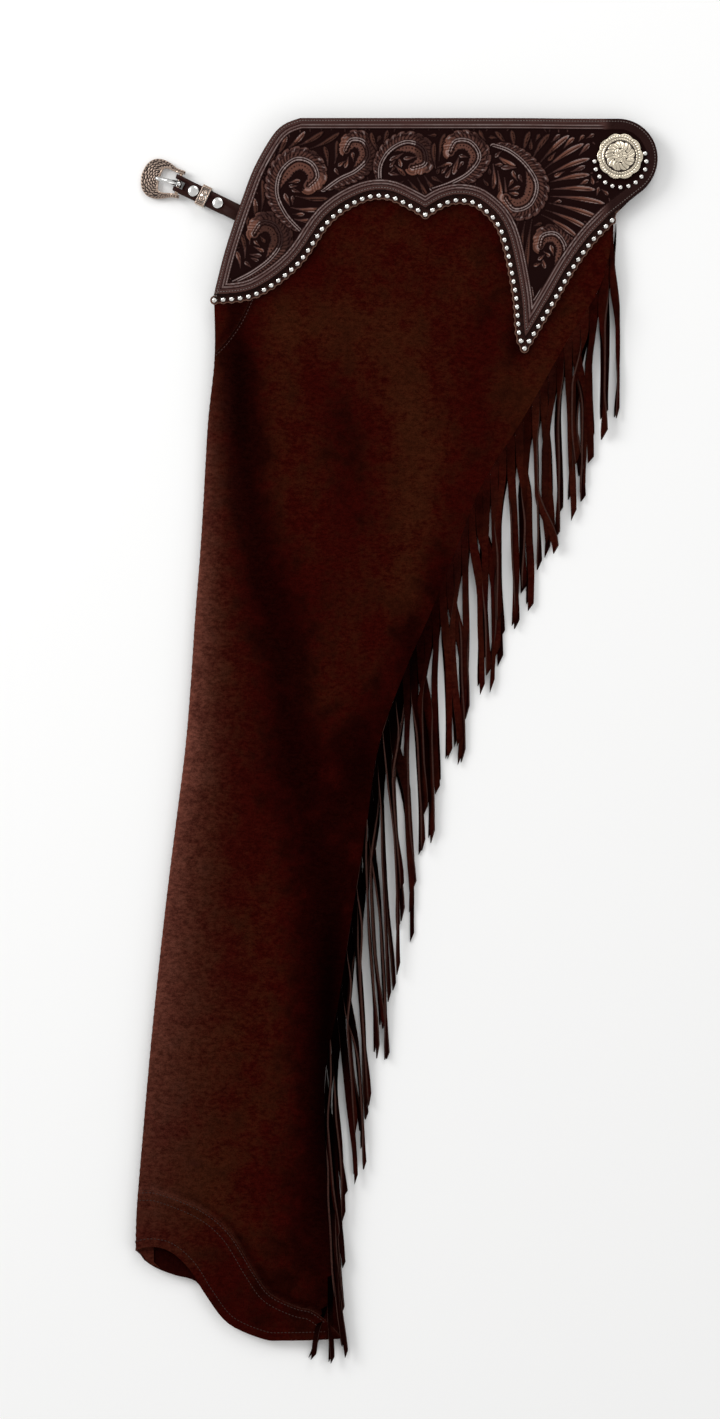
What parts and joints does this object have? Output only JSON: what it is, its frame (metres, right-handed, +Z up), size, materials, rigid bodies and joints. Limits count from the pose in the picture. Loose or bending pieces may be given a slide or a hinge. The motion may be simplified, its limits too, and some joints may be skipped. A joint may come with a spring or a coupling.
{
  "type": "pair of western show chaps, folded flat",
  "caption": "Pair of fringed suede western show chaps, folded in half at the back and laid flat, with tooled leather yokes, a round concho and a buckled front strap.",
  "frame": {"origin": "centre of the whole part's footprint, on the surface that it lies on", "axes": "+Z up off the surface, +Y along the leg towards the waist, +X towards the back fold with the concho, -X towards the front with the buckle"},
  "size_m": [0.4566, 1.084, 0.0194],
  "materials": {
    "suede": "napped suede",
    "hidden_suede": "napped suede",
    "tooled_leather": "tooled and dyed, semi-gloss",
    "underlay_leather": "satin",
    "strap_leather": "satin",
    "silver": "antiqued silver plate"
  },
  "bodies": {
    "chaps": {"far_yoke": "tooled_leather", "folded_layers": "hidden_suede", "far_fringe": "hidden_suede", "leg_panel": "suede", "front_thigh_piece": "suede", "hem_band": "suede", "near_fringe": "suede", "yoke_underlay": "underlay_leather", "yoke": "tooled_leather", "concho": "silver", "concho_stud_1": "silver", "concho_stud_2": "silver", "concho_stud_3": "silver", "concho_stud_4": "silver", "concho_stud_5": "silver", "concho_stud_6": "silver", "concho_stud_7": "silver", "concho_stud_8": "silver", "concho_stud_9": "silver", "concho_stud_10": "silver", "concho_stud_11": "silver", "concho_stud_12": "silver", "buckle_strap": "strap_leather", "strap_keeper": "silver", "strap_screw_1": "silver", "strap_screw_2": "silver"},
    "buckle": {"buckle_frame": "silver"},
    "tongue": {"buckle_tongue": "silver"}
  },
  "joints": [
    {"name": "buckle_hinge", "type": "hinge", "parent": "chaps", "child": "buckle", "pos_m": [-0.18976, 0.4862, 0.0041], "axis": [0.2521, 0.9677, 0], "range_deg": [0, 100]},
    {"name": "tongue_hinge", "type": "hinge", "parent": "buckle", "child": "tongue", "pos_m": [-0.18976, 0.4862, 0.0041], "axis": [0.2521, 0.9677, 0], "range_deg": [0, 35]}
  ]
}
